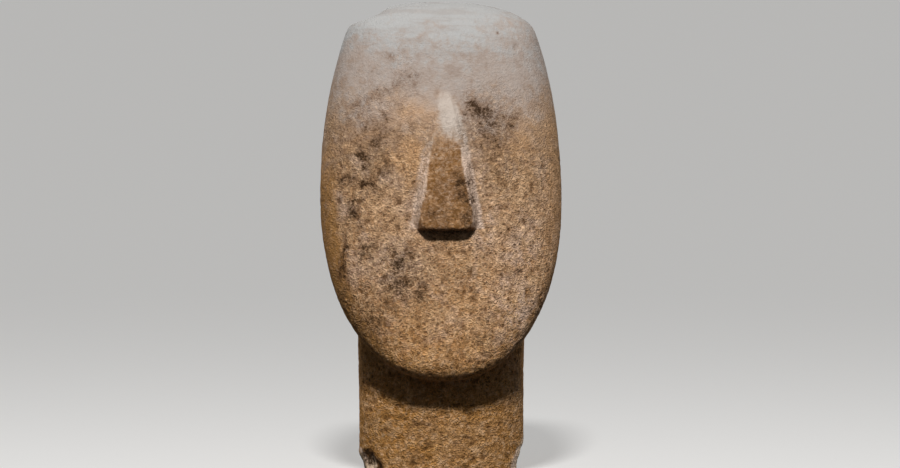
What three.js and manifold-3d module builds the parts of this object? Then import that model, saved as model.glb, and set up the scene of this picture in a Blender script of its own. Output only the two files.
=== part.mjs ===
// A marble head with its neck, of the Cycladic folded-arm kind, broken from its body.
// It is one carved piece: a flat, shield-shaped head that leans back, a wedge for a nose,
// no eyes, mouth or ears, and a stout oval neck that ends in a flat break.
//
// Millimetres, +Z up. The face looks towards -Y and +X is on the viewer's right.
// The origin is the centre of the flat underside of the neck, where the head stands.

import * as THREE from 'three';
import { ConvexGeometry } from 'three/addons/geometries/ConvexGeometry.js';
import { ParametricGeometry } from 'three/addons/geometries/ParametricGeometry.js';
import { mergeVertices } from 'three/addons/utils/BufferGeometryUtils.js';
import Module from 'manifold-3d';

// ---- driving dimensions ----

const CROWN_Z = 289;
const CHIN_Z = 61;
const WIDEST_Z = 174.5;
const HEAD_HALF_WIDTH = 73;

// the leaning face and the back of the skull, as they run from chin (0) to crown (1)
const FACE_AT_CHIN = -57;
const FACE_LEAN = [26, 19.5];
const BACK_AT_CHIN = 28;
const BACK_BULGE = [44, -27];
// the widest line lies far forward at the chin and in mid-depth at the crown
const WIDEST_LINE_AT_CROWN = 14;
const WIDEST_LINE_SWING = 58;
const WIDEST_LINE_BEND = 2.2;

// sections are squarer than an ellipse, the face more so than the back
const FACE_SQUARENESS = 2.6;
const BACK_SQUARENESS = 2.3;
const JAW_SQUARENESS = 2.2;
const CROWN_SQUARENESS = 2.35;

// the temples taper as an ellipse of this half-height, and each end of the head
// begins to round over this far from its tip
const TEMPLE_ELLIPSE = 158;
const CROWN_TURN_ACROSS = 19.2;
const CROWN_TURN_DEEP = 31;
const CHIN_TURN = 14;
const NAPE_TURN = 10;

const NECK_HALF_WIDTH = 50.5;
const NECK_HALF_DEPTH = 34;
const NECK_WAIST = 0.7;
const NECK_WAIST_PLACE = 0.36;
const NECK_TOP_Z = 130;

const NOSE_TOP_Z = 231;
const NOSE_TIP_Z = 151;
const NOSE_OFF_CENTRE = 1.8;
const NOSE_RELIEF = [0.6, 8.6];
const NOSE_RIDGE_HALF_WIDTH = [3, 16];
const NOSE_ROOT_HALF_WIDTH = [4.6, 18.6];
const NOSE_UNDERCUT = 3;
const NOSE_SUNK = [0.5, 6];

const STEPS_AROUND = 56;
const STEPS_UP = 40;
const NECK_STEPS_UP = 7;
const CHIP_STEPS = [40, 26];

const STONE = { color: 0xcdb394, roughness: 0.62, metalness: 0 };

// ---- the form of the head, level by level ----

const between = (a, b, t) => a + (b - a) * t;

// 1 at the start of a rounded end and 0 at its very end, along a superellipse
const roundedEnd = (s, squareness) => {
  const along = Math.min(Math.max(s, 0), 1);
  return (1 - along ** squareness) ** (1 / squareness);
};

const rise = (z) => (z - CHIN_Z) / (CROWN_Z - CHIN_Z);

const faceLine = (z) => FACE_AT_CHIN + FACE_LEAN[0] * rise(z) + FACE_LEAN[1] * rise(z) ** 2;

const backLine = (z) => BACK_AT_CHIN + BACK_BULGE[0] * rise(z) + BACK_BULGE[1] * rise(z) ** 2;

const widestLine = (z) =>
  WIDEST_LINE_AT_CROWN - WIDEST_LINE_SWING * (1 - rise(z)) ** WIDEST_LINE_BEND;

// the outline from in front: a long U from the cheeks to the chin, then a slow
// taper to the temples and a quick turn over the flat crown
const halfWidth = (z) => {
  const jaw = roundedEnd((WIDEST_Z - z) / (WIDEST_Z - CHIN_Z), JAW_SQUARENESS);
  const temples = Math.sqrt(1 - (Math.max(z - WIDEST_Z, 0) / TEMPLE_ELLIPSE) ** 2);
  const crown = roundedEnd(1 - (CROWN_Z - z) / CROWN_TURN_ACROSS, CROWN_SQUARENESS);
  return HEAD_HALF_WIDTH * jaw * temples * crown;
};

const crownTurn = (z) => roundedEnd(1 - (CROWN_Z - z) / CROWN_TURN_DEEP, CROWN_SQUARENESS);
const chinTurn = (z) => roundedEnd(1 - (z - CHIN_Z) / CHIN_TURN, JAW_SQUARENESS);
const napeTurn = (z) => roundedEnd(1 - (z - CHIN_Z) / NAPE_TURN, JAW_SQUARENESS);

const frontDepth = (z) => (widestLine(z) - faceLine(z)) * chinTurn(z) * crownTurn(z);
const backDepth = (z) => (backLine(z) - widestLine(z)) * napeTurn(z) * crownTurn(z);

// one level is two half superellipses that meet on the widest line
function headPoint(u, v, target) {
  const z = between(CHIN_Z, CROWN_Z, (1 - Math.cos(Math.PI * v)) / 2);
  const across = Math.sin(2 * Math.PI * u);
  const forward = Math.cos(2 * Math.PI * u);
  const squareness = forward > 0 ? FACE_SQUARENESS : BACK_SQUARENESS;
  const depth = forward > 0 ? frontDepth(z) : backDepth(z);
  const x = halfWidth(z) * Math.sign(across) * Math.abs(across) ** (2 / squareness);
  const y = widestLine(z) - depth * Math.sign(forward) * Math.abs(forward) ** (2 / squareness);
  target.set(x, y, z);
}

// ---- the other forms ----

// an oval column with a slight waist low down, closed at both ends
function neckGeometry() {
  const profile = [new THREE.Vector2(0, 0)];
  for (let i = 0; i <= NECK_STEPS_UP; i++) {
    const t = i / NECK_STEPS_UP;
    const waist = Math.sin(Math.PI * Math.min(t / NECK_WAIST_PLACE / 2, 1));
    const radius = NECK_HALF_WIDTH - NECK_WAIST * waist;
    profile.push(new THREE.Vector2(radius, NECK_TOP_Z * t));
  }
  profile.push(new THREE.Vector2(0, NECK_TOP_Z));
  return new THREE.LatheGeometry(profile, STEPS_AROUND)
    .rotateX(Math.PI / 2)
    .scale(1, NECK_HALF_DEPTH / NECK_HALF_WIDTH, 1);
}

// a wedge that grows out of the brow, widens and stands prouder down to a blunt tip,
// and is cut back beneath
function noseGeometry() {
  const points = [];
  const levels = [NOSE_TOP_Z, NOSE_TIP_Z];
  for (const side of [-1, 1]) {
    levels.forEach((z, i) => {
      const face = faceLine(z);
      const rootZ = z - i * NOSE_UNDERCUT;
      const ridgeX = NOSE_OFF_CENTRE + side * NOSE_RIDGE_HALF_WIDTH[i];
      const rootX = NOSE_OFF_CENTRE + side * NOSE_ROOT_HALF_WIDTH[i];
      points.push(new THREE.Vector3(ridgeX, face - NOSE_RELIEF[i], z));
      for (const sunk of NOSE_SUNK) points.push(new THREE.Vector3(rootX, face + sunk, rootZ));
    });
  }
  return new ConvexGeometry(points);
}

// what chips and breaks have taken away, each an ellipsoid: centre, then radii
const CHIPS = [
  { lost: 'flake from the crown', at: [-56.6, 10, 310.9], radii: [35.5, 80, 35.5] },
  { lost: 'neck corner on the left', at: [-57, -6, -2], radii: [14, 30, 18] },
  { lost: 'hollow beside that corner', at: [-43.5, -20, 9.5], radii: [3.2, 5, 6] },
  { lost: 'neck corner on the right', at: [61.5, -4, -6], radii: [19, 34, 34] },
  { lost: 'front edge of the break', at: [9, -39, -3], radii: [18, 9, 9] },
  { lost: 'back edge of the break', at: [-18, 39, -4], radii: [22, 10, 13] },
  { lost: 'second back edge', at: [27, 34, -2], radii: [13, 9, 9] },
];

const chipGeometry = ({ at, radii }) =>
  new THREE.SphereGeometry(1, ...CHIP_STEPS).scale(...radii).translate(...at);

// ---- joining and cutting ----

const wasm = await Module();
wasm.setup();

// a closed geometry as a solid; the flat triangles at a pole are left out
function solidOf(geometry) {
  geometry.deleteAttribute('normal');
  geometry.deleteAttribute('uv');
  const merged = mergeVertices(geometry, 1e-4);
  const corners = merged.getIndex().array;
  const kept = [];
  for (let i = 0; i < corners.length; i += 3) {
    const [a, b, c] = corners.slice(i, i + 3);
    if (a !== b && b !== c && c !== a) kept.push(a, b, c);
  }
  return new wasm.Manifold(new wasm.Mesh({
    numProp: 3,
    vertProperties: new Float32Array(merged.getAttribute('position').array),
    triVerts: new Uint32Array(kept),
  }));
}

function geometryOf(solid) {
  const { vertProperties, triVerts } = solid.getMesh();
  const geometry = new THREE.BufferGeometry();
  geometry.setAttribute('position', new THREE.BufferAttribute(vertProperties, 3));
  geometry.setIndex(new THREE.BufferAttribute(triVerts, 1));
  geometry.computeVertexNormals();
  return geometry;
}

const head = new ParametricGeometry(headPoint, STEPS_AROUND, STEPS_UP);
let marble = solidOf(head).add(solidOf(neckGeometry())).add(solidOf(noseGeometry()));
for (const chip of CHIPS) marble = marble.subtract(solidOf(chipGeometry(chip)));

const marbleHead = new THREE.Mesh(geometryOf(marble), new THREE.MeshStandardMaterial(STONE));
marbleHead.name = 'marble_head';

const figurine = new THREE.Group();
figurine.add(marbleHead);

export default figurine;
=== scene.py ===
"""A Cycladic marble head on its broken neck, finished as weathered island marble.

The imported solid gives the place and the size. The stone's skin is worked out here as one
closed surface over that solid, with its wear, pits and crust, and stands for it.
"""

import math

import bpy
import numpy as np
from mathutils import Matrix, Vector


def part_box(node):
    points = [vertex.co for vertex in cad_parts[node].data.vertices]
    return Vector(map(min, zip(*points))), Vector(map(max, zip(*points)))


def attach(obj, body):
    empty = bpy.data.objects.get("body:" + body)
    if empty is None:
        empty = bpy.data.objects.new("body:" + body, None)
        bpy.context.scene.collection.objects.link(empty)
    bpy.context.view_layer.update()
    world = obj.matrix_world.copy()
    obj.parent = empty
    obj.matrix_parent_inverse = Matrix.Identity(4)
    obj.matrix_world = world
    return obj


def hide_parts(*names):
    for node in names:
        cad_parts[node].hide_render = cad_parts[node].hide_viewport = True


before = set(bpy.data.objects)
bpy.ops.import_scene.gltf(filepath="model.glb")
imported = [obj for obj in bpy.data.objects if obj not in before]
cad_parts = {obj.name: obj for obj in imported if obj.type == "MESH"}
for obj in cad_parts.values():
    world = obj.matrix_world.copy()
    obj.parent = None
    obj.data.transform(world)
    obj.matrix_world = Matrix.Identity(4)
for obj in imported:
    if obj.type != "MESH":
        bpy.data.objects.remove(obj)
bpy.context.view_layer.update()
LOW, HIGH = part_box("marble_head")

# ---- sizes, in the stone's own millimetres: the head is CROWN_Z of them tall ----

CROWN_Z = 289.0
MM = (HIGH.z - LOW.z) / CROWN_Z
CHIN_Z = 61.0
WIDEST_Z = 174.5
HEAD_HALF_WIDTH = (HIGH.x - LOW.x) / MM / 2

# the leaning face and the back of the skull, as they run from chin (0) to crown (1)
FACE_AT_CHIN = -57.0
FACE_LEAN = (26.0, 19.5)
BACK_AT_CHIN = 28.0
BACK_BULGE = (44.0, -27.0)
WIDEST_LINE_AT_CROWN = 14.0
WIDEST_LINE_SWING = 58.0
WIDEST_LINE_BEND = 2.2

FACE_SQUARENESS = 2.6
BACK_SQUARENESS = 2.3
JAW_SQUARENESS = 2.2
CROWN_SQUARENESS = 2.35
TEMPLE_ELLIPSE = 158.0
CROWN_TURN_ACROSS = 19.2
CROWN_TURN_DEEP = 31.0
CHIN_TURN = 14.0
NAPE_TURN = 10.0

NECK_HALF_WIDTH = 50.5
NECK_HALF_DEPTH = 34.0
NECK_WAIST = 0.7
NECK_WAIST_PLACE = 0.36
NECK_TOP_Z = 130.0

NOSE_TOP_Z = 231.0
NOSE_TIP_Z = 151.0
NOSE_OFF_CENTRE = 1.8
NOSE_RELIEF = (0.6, 8.6)
NOSE_RIDGE_HALF_WIDTH = (3.0, 16.0)
NOSE_ROOT_HALF_WIDTH = (4.6, 18.6)
# the ridge swells and the root spreads in mid-length, and the tip's corners are worn away
NOSE_SWELL = 0.9
NOSE_SPREAD = 3.4
NOSE_SPREAD_REACH = 0.92
NOSE_CORNER = 3.4
NOSE_CORNER_POWER = 2.5
NOSE_CORNER_START = 0.92
NOSE_TUCK = 1.6
NOSE_UNDERCUT = 0.5
NOSE_SUNK = 0.5
NOSE_BURIED = 6.0

# what chips and breaks have taken away, each an ellipsoid: centre, then radii
CHIPS = (
    ((-56.6, 10, 310.9), (35.5, 80, 35.5)),
    ((-57, -6, -2), (14, 30, 18)),
    ((-43.5, -20, 9.5), (3.2, 5, 6)),
    ((61.5, -4, -6), (19, 34, 34)),
    ((9, -39, -3), (18, 9, 9)),
    ((-18, 39, -4), (22, 10, 13)),
    ((27, 34, -2), (13, 9, 9)),
)


def smoothstep(low, high, value):
    """0 below low, 1 above high, and the cubic 3t^2 - 2t^3 between."""
    t = np.clip((value - low) / (high - low), 0, 1)
    return t * t * (3 - 2 * t)


# ---- the carved form ----

def rounded_end(s, squareness):
    """A superellipse quarter: (1 - s^p)^(1/p) for s from 0 to 1, flat 1 before it."""
    return (1 - np.clip(s, 0, 1) ** squareness) ** (1 / squareness)


def rise(z):
    """0 at the chin's tip and 1 at the crown."""
    return (z - CHIN_Z) / (CROWN_Z - CHIN_Z)


def face_line(z):
    """The face's middle line in profile, a parabola that leans back as it rises."""
    return FACE_AT_CHIN + FACE_LEAN[0] * rise(z) + FACE_LEAN[1] * rise(z) ** 2


def back_line(z):
    """The back's middle line in profile, a shallow parabola."""
    return BACK_AT_CHIN + BACK_BULGE[0] * rise(z) + BACK_BULGE[1] * rise(z) ** 2


def widest_line(z):
    """Where each level is widest: far forward at the chin, in mid-depth at the crown."""
    swing = np.clip(1 - rise(z), 0, 1) ** WIDEST_LINE_BEND
    return WIDEST_LINE_AT_CROWN - WIDEST_LINE_SWING * swing


def half_width(z):
    """The outline from in front: a U from cheeks to chin, tapering temples, a flat crown."""
    jaw = rounded_end((WIDEST_Z - z) / (WIDEST_Z - CHIN_Z), JAW_SQUARENESS)
    temples = np.sqrt(1 - (np.clip(z - WIDEST_Z, 0, None) / TEMPLE_ELLIPSE) ** 2)
    crown = rounded_end(1 - (CROWN_Z - z) / CROWN_TURN_ACROSS, CROWN_SQUARENESS)
    return HEAD_HALF_WIDTH * jaw * temples * crown


def head_depths(z):
    """How far the face stands before the widest line, and the back behind it."""
    crown = rounded_end(1 - (CROWN_Z - z) / CROWN_TURN_DEEP, CROWN_SQUARENESS)
    chin = rounded_end(1 - (z - CHIN_Z) / CHIN_TURN, JAW_SQUARENESS)
    nape = rounded_end(1 - (z - CHIN_Z) / NAPE_TURN, JAW_SQUARENESS)
    front = (widest_line(z) - face_line(z)) * chin * crown
    back = (back_line(z) - widest_line(z)) * nape * crown
    return front, back


LEVELS = np.linspace(CHIN_Z + 1e-3, CROWN_Z - 1e-3, 3000)
WIDTH_AT_LEVEL = half_width(LEVELS)
WIDEST_AT_LEVEL = widest_line(LEVELS)
FRONT_AT_LEVEL, BACK_AT_LEVEL = head_depths(LEVELS)


def head_gauge(x, y, z):
    """Below 1 inside the head: |x/w|^p + |y/d|^p of its level, squarer in front."""
    width = np.interp(z, LEVELS, WIDTH_AT_LEVEL)
    behind = y - np.interp(z, LEVELS, WIDEST_AT_LEVEL)
    front = behind < 0
    front_depth = np.interp(z, LEVELS, FRONT_AT_LEVEL)
    depth = np.where(front, front_depth, np.interp(z, LEVELS, BACK_AT_LEVEL))
    power = np.where(front, FACE_SQUARENESS, BACK_SQUARENESS)
    gauge = (np.abs(x) / width) ** power + (np.abs(behind) / depth) ** power
    return np.where((z > CHIN_Z) & (z < CROWN_Z), gauge, 2.0)


def neck_gauge(x, y, z):
    """Below 1 inside the neck, an ellipse with a slight waist low down."""
    waist = np.sin(np.pi * np.clip(z / NECK_TOP_Z / NECK_WAIST_PLACE / 2, 0, 1))
    radius = NECK_HALF_WIDTH - NECK_WAIST * waist
    across = x / radius
    deep = y / radius * (NECK_HALF_WIDTH / NECK_HALF_DEPTH)
    return np.where(z < NECK_TOP_Z, across ** 2 + deep ** 2, 2.0)


def nose_place(x, y, z):
    """Where a point lies on the nose: down it, in from its ridge, and across it.

    down is 0 at the brow and 1 at the tip, inward is 0 on the ridge and 1 at the root,
    and across is 1 on the wedge's side faces.
    """
    down = (NOSE_TOP_Z - z) / (NOSE_TOP_Z - NOSE_TIP_Z)
    top, tip = face_line(NOSE_TOP_Z), face_line(NOSE_TIP_Z)
    face = top + (tip - top) * down
    relief = NOSE_RELIEF[0] + (NOSE_RELIEF[1] - NOSE_RELIEF[0]) * down
    inward = (y - face + relief) / (relief + NOSE_SUNK)
    ridge = NOSE_RIDGE_HALF_WIDTH[0] + np.diff(NOSE_RIDGE_HALF_WIDTH) * down
    ridge = ridge + NOSE_SWELL * np.sin(np.pi * np.clip(down, 0, 1))
    root = NOSE_ROOT_HALF_WIDTH[0] + np.diff(NOSE_ROOT_HALF_WIDTH) * down
    root = root + NOSE_SPREAD * np.sin(np.pi * np.clip(down, 0, 1) * NOSE_SPREAD_REACH)
    allowed = ridge + (root - ridge) * np.clip(inward, 0, 1)
    corner = NOSE_TUCK + NOSE_CORNER * (1 - np.clip(inward, 0, 1)) ** NOSE_CORNER_POWER
    allowed = allowed - corner * smoothstep(NOSE_CORNER_START, 1.0, down) ** 2
    return down, inward, np.abs(x - NOSE_OFF_CENTRE) / allowed


def in_nose(x, y, z):
    """The wedge: between its side faces, behind its ridge face and above its undercut."""
    down, inward, across = nose_place(x, y, z)
    underside = NOSE_TIP_Z - NOSE_UNDERCUT * np.clip(inward, 0, 1)
    outer = y < face_line(z) + NOSE_BURIED
    return (across < 1) & (inward > 0) & outer & (down > 0) & (z > underside)


def chip_gauges(x, y, z):
    """For each chip or break, a gauge that is below 1 inside its ellipsoid."""
    for at, radii in CHIPS:
        yield sum(((p - c) / r) ** 2 for p, c, r in zip((x, y, z), at, radii))


def chipped(x, y, z):
    """Inside any ellipsoid that a chip or a break has taken away."""
    lost = np.zeros(np.shape(x), bool)
    for gauge in chip_gauges(x, y, z):
        lost |= gauge < 1
    return lost


def in_stone(points):
    """Whether each point is in the stone: head, neck and nose as one, less the chips."""
    x, y, z = points
    carved = (head_gauge(x, y, z) < 1) | (neck_gauge(x, y, z) < 1) | in_nose(x, y, z)
    return carved & ~chipped(x, y, z)


# ---- the surface grid ----

# rows run from the middle of the underside to the crown, and columns around
ROWS = 300
COLUMNS = 330
# a middle level's half-width and half-depth, round which the columns are evenly spaced,
# but closer where they face forward
MIDDLE_LEVEL = (66, 40)
FRONT_DENSITY = 1.7
FRONT_START = (-0.35, 0.25)
# how closely rows lie on the underside and above it, and how much less on the crown
UNDERSIDE_DENSITY = 0.25
ROW_DENSITY = 1.12
CROWN_DENSITY_DROP = 0.3
CROWN_START = (190, 260)

# rays leave a spine at so many stations: its height and depth along its length
STATIONS = 620
SPINE_STEPS = (0.0, 0.05, 0.27, 0.44, 0.78, 1.0)
SPINE_Z = (0.0, 14.0, 88.0, 128.0, 222.0, 256.0)
SPINE_Y = (0.0, 0.0, 0.0, 0.0, 9.0, 13.0)
# where along it they tip down under the chin, and up over the crown
UNDER_CHIN = (0, 0, 1, 0, 0, 0)
OVER_CROWN = (0, 0, 0, 0, 0, 1)
CHIN_TILT = math.radians(-42)
RAY_LENGTH = 92.0
RAY_STEP = 1.6
HALVINGS = 16


def column_angles():
    """One angle for each column, evenly spaced around a middle level's outline.

    Angle 0 faces front. Columns crowd towards the face by FRONT_DENSITY.
    """
    angle = np.linspace(-np.pi, np.pi, 4001)
    radius = 1 / np.hypot(np.sin(angle) / MIDDLE_LEVEL[0], np.cos(angle) / MIDDLE_LEVEL[1])
    outline = np.stack([radius * np.sin(angle), -radius * np.cos(angle)])
    step = np.hypot(*np.diff(outline))
    middle = (angle[1:] + angle[:-1]) / 2
    step *= 1 + (FRONT_DENSITY - 1) * smoothstep(*FRONT_START, np.cos(middle))
    along = np.concatenate([[0], np.cumsum(step)])
    return np.interp(np.arange(COLUMNS) / COLUMNS * along[-1], along, angle)


def surface_profiles(angles):
    """Points on the stone, one profile for each column, from underside to crown.

    Rays leave a spine through neck and head. They lie level along the neck, tip down in
    front to reach under the chin, level out over the face and fan up over the crown.
    Each stops where it first leaves the stone, found by steps and then by halving.
    """
    station = np.linspace(0, 1, STATIONS)[:, None]
    reach_under = smoothstep(-0.3, 1.0, np.cos(angles))[None, :]
    under = np.interp(station, SPINE_STEPS, UNDER_CHIN)
    over = np.interp(station, SPINE_STEPS, OVER_CROWN)
    tilt = CHIN_TILT * under * reach_under + math.pi / 2 * over
    start = np.zeros((3, STATIONS, len(angles)))
    start[1] = np.interp(station, SPINE_STEPS, SPINE_Y)
    start[2] = np.interp(station, SPINE_STEPS, SPINE_Z) + 1e-3
    flat = np.cos(tilt)
    way = np.stack([flat * np.sin(angles), -flat * np.cos(angles), np.sin(tilt)])
    inside = np.zeros(start.shape[1:])
    walking = np.ones(start.shape[1:], bool)
    for reach in np.arange(RAY_STEP, RAY_LENGTH, RAY_STEP):
        walking &= in_stone(start + way * reach)
        inside[walking] = reach
    outside = inside + RAY_STEP
    for _ in range(HALVINGS):
        middle = (inside + outside) / 2
        kept = in_stone(start + way * middle)
        inside = np.where(kept, middle, inside)
        outside = np.where(kept, outside, middle)
    return start + way * inside


def even_rows(profiles):
    """The profiles cut into ROWS even steps each, closer where the stone is rough."""
    columns = profiles.shape[2]
    centre = np.zeros((3, 1, columns))
    line = np.concatenate([centre, profiles], axis=1)
    step = np.linalg.norm(np.diff(line, axis=1), axis=0)
    height = (line[2, 1:] + line[2, :-1]) / 2
    above = ROW_DENSITY - CROWN_DENSITY_DROP * smoothstep(*CROWN_START, height)
    step *= np.where(height < 0.01, UNDERSIDE_DENSITY, above)
    along = np.concatenate([np.zeros((1, columns)), np.cumsum(step, axis=0)])
    along /= along[-1]
    wanted = np.linspace(0, 1, ROWS)[:, None]
    # one long line of all the columns end to end lets a single interpolation serve
    place = (wanted + 2 * np.arange(columns)).T.ravel()
    known = (along + 2 * np.arange(columns)).T.ravel()
    cut = [np.interp(place, known, line[k].T.ravel()) for k in range(3)]
    return np.stack(cut).reshape(3, columns, ROWS).transpose(2, 1, 0)


def eased(grid, strength, rounds):
    """The grid with each inner point drawn towards the mean of its four neighbours."""
    grid = grid.copy()
    for _ in range(rounds):
        around = np.roll(grid, 1, axis=1) + np.roll(grid, -1, axis=1)
        mean = (around[1:-1] + grid[2:] + grid[:-2]) / 4
        grid[1:-1] += strength[1:-1] * (mean - grid[1:-1])
    return grid


def grid_normals(grid):
    """Unit outward normals: the cross product of the ways along a row and up a column."""
    along = np.roll(grid, -1, axis=1) - np.roll(grid, 1, axis=1)
    up = np.gradient(grid, axis=0)
    normal = np.cross(along, up)
    length = np.linalg.norm(normal, axis=2, keepdims=True)
    normal = normal / np.maximum(length, 1e-9)
    normal[0] = (0, 0, -1)
    normal[-1] = (0, 0, 1)
    return normal


# ---- noise, for the stone's relief ----

def lattice(cell, seed):
    """A repeatable random number from 0 to 1 for each whole-number cell."""
    x, y, z = (cell[..., k].astype(np.int64) for k in range(3))
    mixed = x * 73856093 ^ y * 19349663 ^ z * 83492791 ^ (seed + 1) * 2654435761
    mixed = (mixed ^ (mixed >> 13)) * 1274126177 & 0x7FFFFFFF
    mixed = (mixed ^ (mixed >> 15)) * 1103515245 & 0x7FFFFFFF
    return (mixed ^ (mixed >> 11)) % 1000003 / 1000003


def value_noise(points, seed):
    """Smooth noise from -1 to 1: random corner values of each unit cell, blended."""
    cell = np.floor(points)
    part = points - cell
    part = part * part * part * (part * (part * 6 - 15) + 10)
    total = np.zeros(points.shape[:-1])
    for corner in np.ndindex(2, 2, 2):
        offset = np.array(corner)
        weight = np.prod(np.where(offset, part, 1 - part), axis=-1)
        total += weight * lattice(cell + offset, seed)
    return total * 2 - 1


# a rotation that keeps the layers' lattices out of line with each other
TURN = np.array([[0.36, 0.48, -0.8], [-0.8, 0.6, 0.0], [0.48, 0.64, 0.6]])


def layered_noise(points, size, layers, seed, falloff=0.5):
    """Layers of noise, each turned, twice as fine and falloff as strong as the last."""
    spot = points / size
    total = np.zeros(points.shape[:-1])
    strength = 1.0
    for layer in range(layers):
        total += strength * value_noise(spot, seed + layer)
        spot = spot @ TURN * 2
        strength *= falloff
    return total


def ridged_noise(points, size, layers, seed):
    """Thin wandering ridges: 1 where layered noise crosses 0, falling away each side."""
    return 1 - np.abs(layered_noise(points, size, layers, seed)) * 2


def cell_spots(points, size, seed, inner, outer, share):
    """Round spots, 1 within inner cells of a centre and 0 past outer.

    Each cell has one centre, at a random point in it, and a share of the cells have spots.
    """
    spot = points / size
    cell = np.floor(spot)
    nearest = np.full(points.shape[:-1], 9.0)
    number = np.zeros(points.shape[:-1])
    for offset in np.ndindex(3, 3, 3):
        other = cell + np.array(offset) - 1
        shift = np.stack([lattice(other, seed + k) for k in range(3)], axis=-1)
        gap = np.linalg.norm(other + shift - spot, axis=-1)
        closer = gap < nearest
        nearest = np.where(closer, gap, nearest)
        number = np.where(closer, lattice(other, seed + 3), number)
    return (1 - smoothstep(inner, outer, nearest)) * (number < share)


# ---- the stone's wear, as relief and as marks that its colour reads ----

# old staining: across and up the face, half-width, half-height, strength.
# The six low on the left jaw, left of -37 and 82 to 118 up, are partly staining and partly
# painted shade on that side;
# the three at the neck's left foot are painted shade in the chipped notch
STAINS_AND_PAINTED_SHADE = (
    (12, 229, 5, 2.5, 0.6), (20, 222, 7, 4.5, 1.25), (31, 218, 9, 5, 0.6),
    (42, 213, 4, 8, 0.75), (30, 206, 15, 11, 0.62), (27, 218, 15, 9, 0.75),
    (-45, 204, 17, 15, 0.42), (-50, 92, 11, 18, 0.6), (-56, 112, 8, 14, 0.5),
    (-26, 122, 16, 15, 0.62), (24, 192, 9, 9, 0.5), (33, 184, 9, 9, 0.35),
    (18, 189, 3, 3, 0.7), (-37, 232, 8, 4, 0.35), (-35, 217, 4, 3.5, 0.75),
    (-46, 212, 7, 6, 0.45), (-50, 208, 4, 4, 0.6), (-41, 203, 5, 4, 0.85),
    (-47, 196, 5, 4, 1.2), (-45, 190, 4, 5, 1.15), (-37, 194, 6, 5, 0.6),
    (-33, 187, 4, 5, 0.6), (-57, 190, 3, 5, 0.4), (-46, 177, 6.5, 4, 1.25),
    (-58, 179, 4, 3.5, 1.0), (-62, 184, 3, 3, 0.5), (-54, 162, 3.5, 6, 1.25),
    (-53, 152, 6, 5, 0.4), (-46, 137, 7, 7, 0.85), (-26, 134, 9, 8, 0.9),
    (-25, 117, 9, 7, 0.95), (-14, 112, 6, 5, 0.9), (-34, 105, 8, 8, 0.35),
    (24, 84, 12, 6, 0.3), (42, 150, 5, 7, 0.4), (40, 126, 6, 3, 0.5),
    (24, 101, 5, 5, 0.35), (-32, 254, 4, 5, 0.35), (-41, 97, 9, 12, 0.62),
    (-25, 237, 5, 5, 0.5), (-15, 243, 5, 4, 0.4), (10, 181, 5.5, 5.5, 1.0),
    (12.5, 171, 5, 7, 0.95), (14, 159, 4, 8, 0.8), (-4, 160, 10, 6, 0.55),
    (-2, 175, 8, 7, 0.35), (33.6, 270, 1.5, 1.2, 0.7), (45, 260.5, 1.1, 1.1, 0.9),
    # these three: painted shade in the chipped notch at the neck's left foot
    (-45.5, 15.5, 2.4, 2.6, 1.5), (-42, 12, 2.8, 2.6, 1.8), (-38.5, 8, 2.8, 3.2, 1.8),
    # these three, low on the left jaw, are partly staining and partly painted shade
    (-46, 98, 9, 15, 0.45), (-38, 82, 9, 9, 0.4), (-57, 118, 6, 14, 0.35),
    (-52, 222, 8, 7, 0.35), (-45, 226, 6, 5, 0.35), (-30, 205, 7, 7, 0.35),
    (-42, 184, 8, 6, 0.45), (-38, 122, 12, 10, 0.45), (-18, 128, 8, 6, 0.5),
)
# paler, pinker patches of the crust
PALES = (
    (25, 152, 7, 15, 1.0), (21, 180, 4, 16, 0.6), (46, 140, 16, 18, 0.9),
    (44, 106, 18, 20, 1.0), (66, 150, 9, 40, 0.5), (36, 86, 14, 10, 0.7),
    (-28, 128, 17, 17, 1.0), (-20, 150, 10, 6, 0.5), (-30, 170, 9, 12, 0.3),
    (2, 92, 10, 8, 0.4), (44, 60, 8, 20, 0.5),
)
# warmer, tan and orange patches
WARMS = (
    (-30, 160, 10, 22, 0.6), (-6, 122, 14, 10, 0.6), (10, 30, 22, 9, 0.6),
    (-17, 221, 14, 11, 0.6), (-21, 190, 11, 18, 0.9), (26, 172, 12, 20, 0.4),
    (48, 190, 9, 25, 0.4), (8, 136, 14, 12, 0.8), (-2, 100, 24, 16, 0.5),
    (-50, 100, 12, 18, 0.6), (20, 20, 18, 12, 0.6), (66, 165, 8, 40, 0.8),
    (52, 112, 12, 22, 0.5),
)
# shallow hollows under the brow, and small dents: across, up, radius, depth
HOLLOWS = ((-24, 206, 17, 0.8), (28, 205, 17, 0.8))
DENTS = (
    (33.6, 270, 1.3, 0.3), (45, 260.5, 1.6, 0.7), (4.8, 277, 2.6, 0.25),
    (-56, 247, 1.4, 0.3), (-44, 13.5, 3.0, 1.4), (-39.5, 8.5, 3.0, 1.8),
)
# pale rims on the neck's chipped corners: lower end, upper end, half-width
RIMS = ((43.6, 8, 48.3, 20, 2.2), (-43.5, 8, -50, 18.5, 1.2))
RIM_SHARE = 1.5

# the dark ragged seam along the left cheek: how far in from the outline its two ends lie,
# their heights, and how it widens downwards
SEAM_INSET = (5.5, 14.0)
SEAM_SPAN = (121.0, 147.0)
SEAM_ENDS = (117, 125, 139, 153)
SEAM_HALF_WIDTH = 0.8
SEAM_WIDENING = 1.6
SEAM_WIDE_BELOW = (124, 146)

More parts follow.
